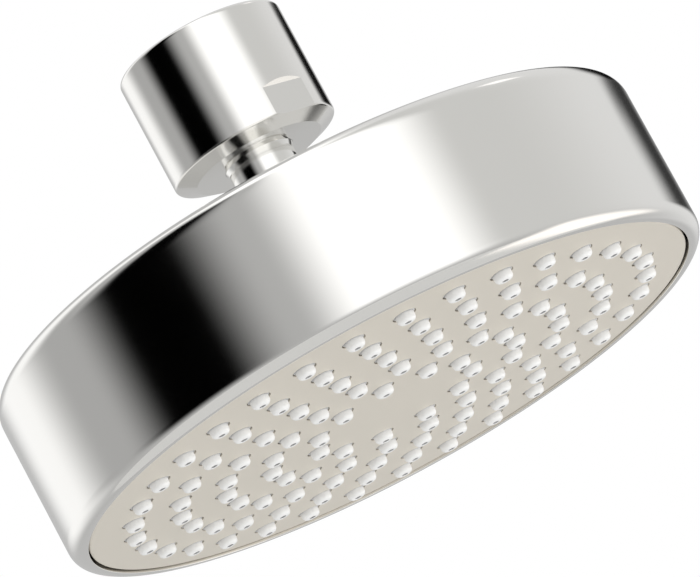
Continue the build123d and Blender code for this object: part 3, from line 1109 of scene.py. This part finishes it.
class SHOWER_OT_stage(bpy.types.Operator):
    """Stage: paper floor, light tent with its cards, sky and camera"""

    bl_idname = "shower.stage"
    bl_label = "Stage"

    def execute(self, context):
        stage = context.scene.shower_stage
        finishes = context.scene.shower_finishes
        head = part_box("housing")
        middle = (cad_box[0][2] + cad_box[1][2]) / 2
        camera_side = stage.azimuth - math.pi / 2

        floor_mesh = bpy.data.meshes.new("paper_floor")
        rim = ring_of(Vector((0, 0)), stage.floor_r, STAGE_SIDES)
        floor_z = head[0].z - stage.floor_drop
        floor_mesh.from_pydata([(p.x, p.y, floor_z) for p in rim], [], [tuple(range(STAGE_SIDES))])
        floor_mesh.materials.append(paper_floor(finishes))
        floor = place_in_scene(bpy.data.objects.new("paper_floor", floor_mesh))

        tent_mesh = bpy.data.meshes.new("light_tent")
        wall = ring_of(Vector((0, 0)), stage.tent_r, STAGE_SIDES)
        low = [(p.x, p.y, -stage.tent_foot) for p in wall]
        high = [(p.x, p.y, stage.tent_top) for p in wall]
        walls = joined_loops(0, STAGE_SIDES, STAGE_SIDES)
        roof = tuple(range(STAGE_SIDES, 2 * STAGE_SIDES))
        tent_mesh.from_pydata(low + high, [], [*walls, roof])
        tent_mesh.materials.append(tent_cloth(stage))
        tent = place_in_scene(bpy.data.objects.new("light_tent", tent_mesh))
        tent.location = (0, 0, middle)
        tent.rotation_euler = (0, 0, camera_side)

        cards = [tent]
        for name, panel in PANELS.items():
            card = soft_panel(name, panel, camera_side, stage.tent_light)
            card.location = (0, 0, middle)
            cards.append(card)
        for card in cards:
            card.visible_camera = False
            card.visible_diffuse = False
            card.visible_shadow = False
        fill = self.hang_fill(stage, middle, camera_side)

        self.light_sky(context.scene, stage)
        self.aim_camera(context.scene, stage)
        context.scene.view_settings.view_transform = "Standard"
        return {"FINISHED"}

    def hang_fill(self, stage, middle, camera_side):
        """A low fill for matt surfaces, kept out of the mirrors."""
        data = bpy.data.lights.new("low_fill", "AREA")
        data.energy = stage.fill_power
        data.size = FILL_SIZE
        data.spread = FILL_SPREAD
        fill = place_in_scene(bpy.data.objects.new("low_fill", data))
        turn, lift = (math.radians(angle) for angle in FILL_SPOT)
        away = toward(camera_side + turn, lift)
        fill.location = Vector((0, 0, middle)) + FILL_REACH * stage.tent_r * away
        fill.rotation_euler = away.to_track_quat("Z", "Y").to_euler()
        fill.visible_glossy = False
        fill.visible_camera = False
        return fill

    def light_sky(self, scene, stage):
        """White to the eye and in reflections, and the ambient level on matt surfaces."""
        world = bpy.data.worlds.new("studio_sky")
        world.use_nodes = True
        tree = world.node_tree
        tree.nodes.clear()
        ray = add_node(tree, "ShaderNodeLightPath").outputs
        seen = add_node(
            tree, "ShaderNodeMath", {0: ray["Is Camera Ray"], 1: ray["Is Glossy Ray"]}, operation="MAXIMUM"
        )
        shown = add_node(
            tree, "ShaderNodeMath", {0: seen.outputs[0], 1: ray["Is Transmission Ray"]}, operation="MAXIMUM"
        )
        ambient = add_node(tree, "ShaderNodeBackground", {"Color": (1, 1, 1, 1), "Strength": stage.ambient})
        white = add_node(tree, "ShaderNodeBackground", {"Color": (1, 1, 1, 1), "Strength": 1.0})
        sky = add_node(
            tree,
            "ShaderNodeMixShader",
            {"Fac": shown.outputs[0], 1: ambient.outputs[0], 2: white.outputs[0]},
        )
        add_node(tree, "ShaderNodeOutputWorld", {"Surface": sky.outputs[0]})
        scene.world = world

    def aim_camera(self, scene, stage):
        """Stands the camera at the picture's angle, rolled about its own axis."""
        back = toward(stage.azimuth - math.pi / 2, stage.elevation)
        level_right = toward(stage.azimuth, 0)
        level_up = back.cross(level_right)
        right = level_right * math.cos(stage.roll) - level_up * math.sin(stage.roll)
        up = level_right * math.sin(stage.roll) + level_up * math.cos(stage.roll)
        data = bpy.data.cameras.new("photo_camera")
        data.lens = stage.lens
        data.sensor_width = SENSOR_WIDTH
        camera = place_in_scene(bpy.data.objects.new("photo_camera", data))
        axes = Matrix((right, up, back)).transposed().to_4x4()
        camera.matrix_world = Matrix.Translation(Vector(stage.target) + back * stage.distance) @ axes
        scene.camera = camera


class SHOWER_PT_panel(bpy.types.Panel):
    """Lists the pieces and the stage in the sidebar"""

    bl_idname = "SHOWER_PT_panel"
    bl_label = "Rain shower head"
    bl_space_type = "VIEW_3D"
    bl_region_type = "UI"
    bl_category = "Shower head"

    def draw(self, context):
        for operator in OPERATORS:
            self.layout.operator(operator.bl_idname)
        for name, group in GROUPS.items():
            box = self.layout.box()
            box.label(text=group.__doc__)
            settings = getattr(context.scene, name)
            for key in group.__annotations__:
                box.prop(settings, key)


OPERATORS = (
    SHOWER_OT_collar,
    SHOWER_OT_ball_stem,
    SHOWER_OT_housing,
    SHOWER_OT_spray_face,
    SHOWER_OT_nozzle_mat,
    SHOWER_OT_filter_screen,
    SHOWER_OT_inner_pieces,
    SHOWER_OT_stage,
)
GROUPS = {
    "shower_collar": CollarSizes,
    "shower_stem": StemSizes,
    "shower_head": HeadSizes,
    "shower_nozzle": NozzleSizes,
    "shower_wire": WireSizes,
    "shower_finishes": Finishes,
    "shower_stage": StageSettings,
}


def register():
    """Adds the classes and the scene's settings."""
    for group in GROUPS.values():
        bpy.utils.register_class(group)
    for operator in OPERATORS:
        bpy.utils.register_class(operator)
    bpy.utils.register_class(SHOWER_PT_panel)
    for name, group in GROUPS.items():
        setattr(bpy.types.Scene, name, PointerProperty(type=group))


def unregister():
    """Takes the settings and the classes away again."""
    for name in GROUPS:
        delattr(bpy.types.Scene, name)
    bpy.utils.unregister_class(SHOWER_PT_panel)
    for kind in (*reversed(OPERATORS), *reversed(list(GROUPS.values()))):
        bpy.utils.unregister_class(kind)


def main():
    """Builds everything round the frame."""
    register()
    bpy.ops.shower.collar()
    bpy.ops.shower.ball_stem()
    bpy.ops.shower.housing()
    bpy.ops.shower.spray_face()
    bpy.ops.shower.nozzle_mat()
    bpy.ops.shower.filter_screen()
    bpy.ops.shower.inner_pieces()
    bpy.ops.shower.stage()


if __name__ == "__main__":
    main()
